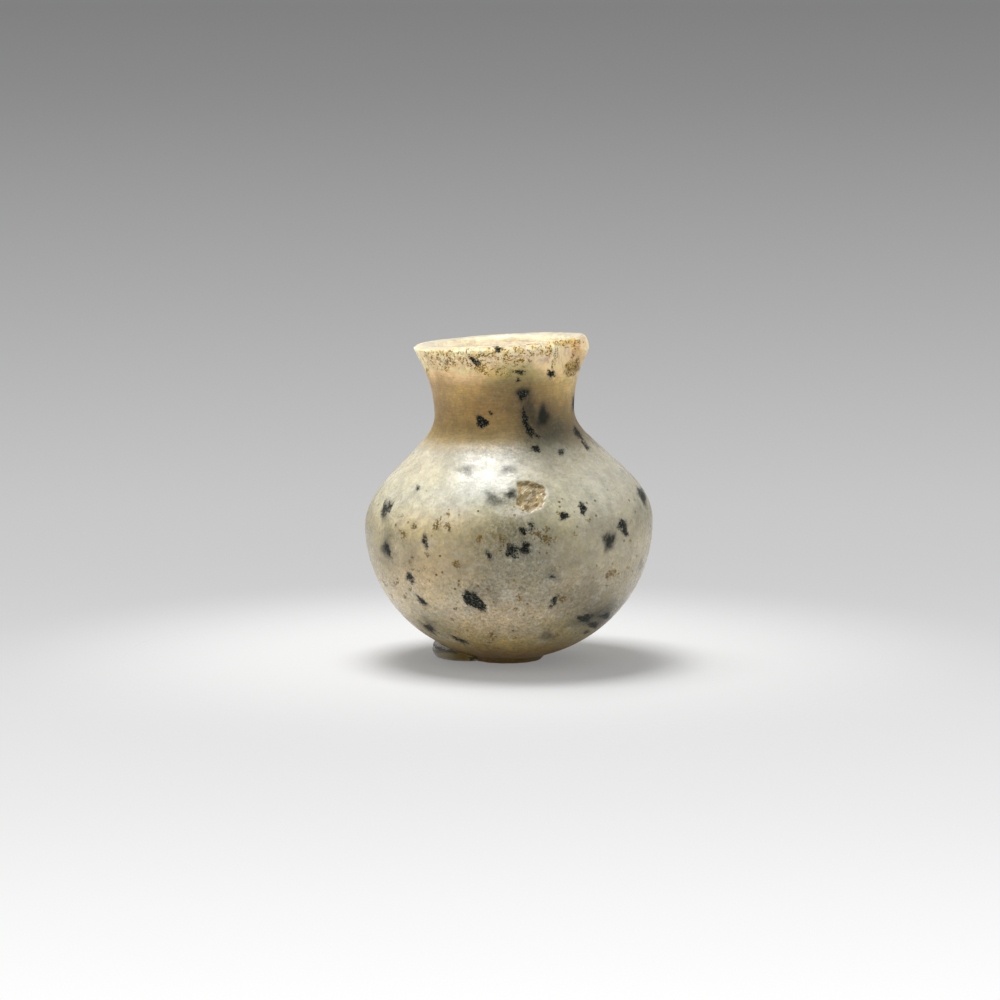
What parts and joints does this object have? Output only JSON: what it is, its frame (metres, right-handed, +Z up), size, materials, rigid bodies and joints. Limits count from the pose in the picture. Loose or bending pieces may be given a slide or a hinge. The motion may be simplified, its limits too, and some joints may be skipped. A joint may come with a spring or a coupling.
{
  "type": "stone votive vessel",
  "caption": "Small round-bellied jar ground from speckled translucent stone, hollow, with a flaring chipped lip and a low foot, propped with clear wax to display on a flat surface.",
  "frame": {"origin": "centre of the flat underside of the foot, on the surface that the jar stands on", "axes": "+Z up out of the mouth, -Y towards the front as displayed, +X to the viewer's right"},
  "size_m": [0.0461, 0.0462, 0.0524],
  "materials": {
    "speckled_stone": "ground and softly polished, translucent cream to grey-green with dark flecks, matt and pitted on the lip",
    "clear_wax": "clear, soft and glossy"
  },
  "bodies": {
    "root": {"stone_vessel": "speckled_stone", "clear_prop": "clear_wax"}
  },
  "joints": []
}
